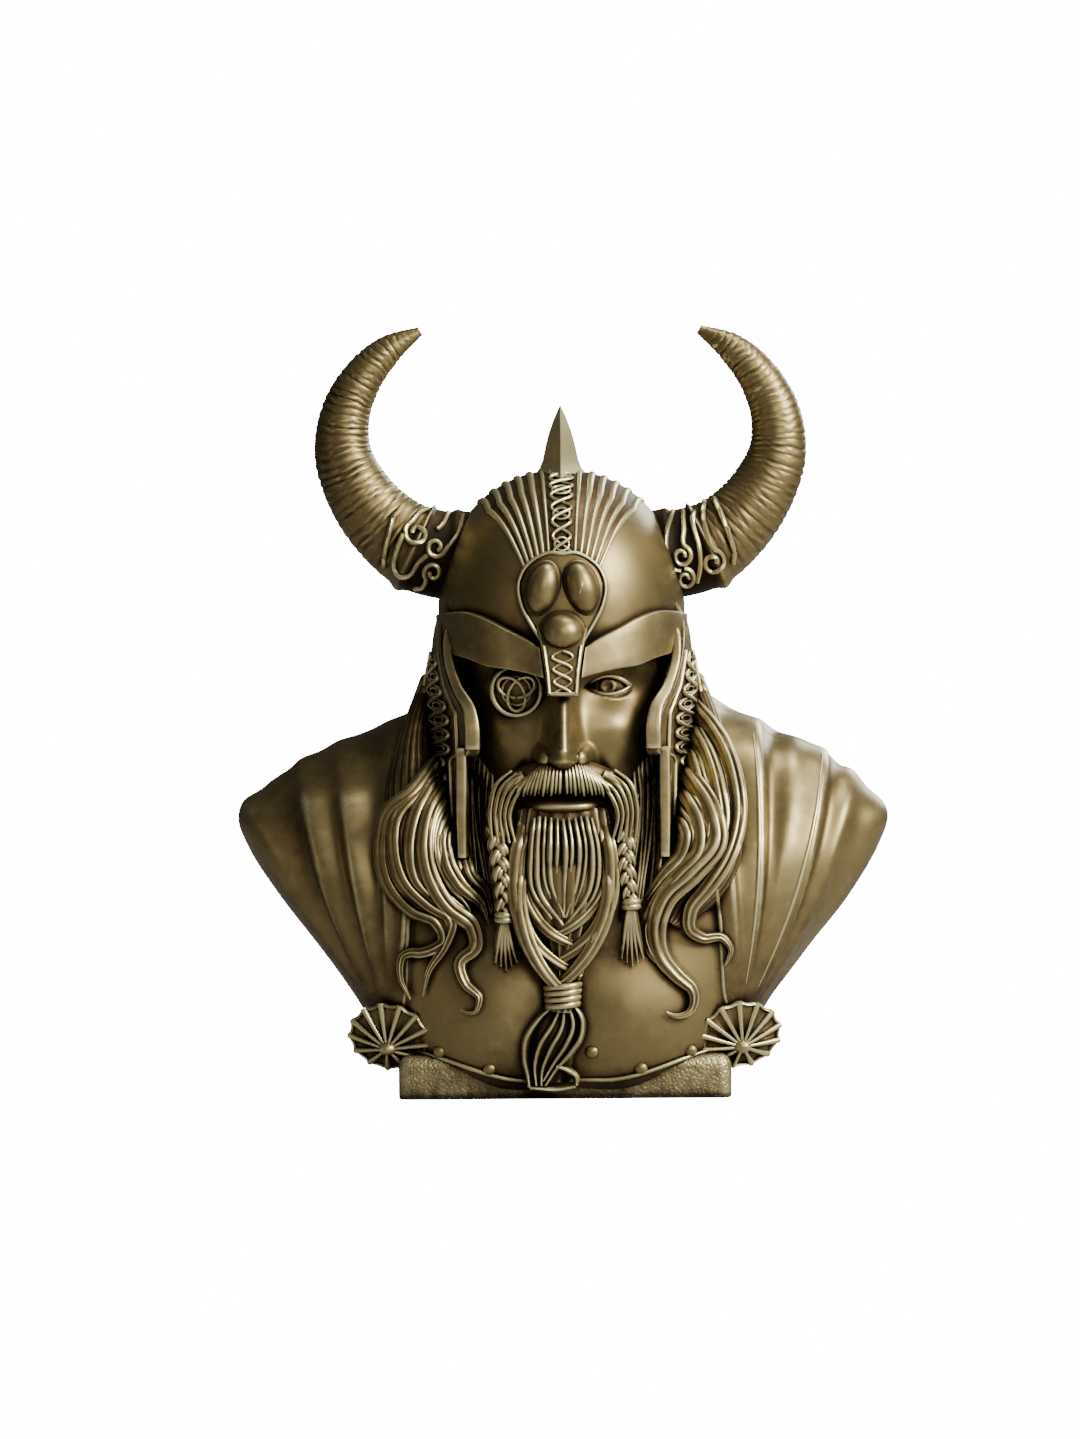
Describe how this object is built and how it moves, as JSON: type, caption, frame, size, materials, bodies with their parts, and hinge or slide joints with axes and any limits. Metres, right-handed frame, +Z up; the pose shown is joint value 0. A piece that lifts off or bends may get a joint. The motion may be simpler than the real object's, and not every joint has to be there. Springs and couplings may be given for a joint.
{
  "type": "mantel bust",
  "caption": "Bronze-finish resin mantel bust of a bearded Norse god in a horned helmet and clasped cloak, cast on a low block base.",
  "frame": {"origin": "centre of the bounding box in X and Y, at the base's underside", "axes": "+Z up, +X to a viewer's right, the face looks along -Y"},
  "size_m": [0.2122, 0.1154, 0.2468],
  "materials": {
    "bronze": "aged bronze over cast resin, satin, dark in the recesses"
  },
  "bodies": {
    "root": {"bust": "bronze"}
  },
  "joints": []
}
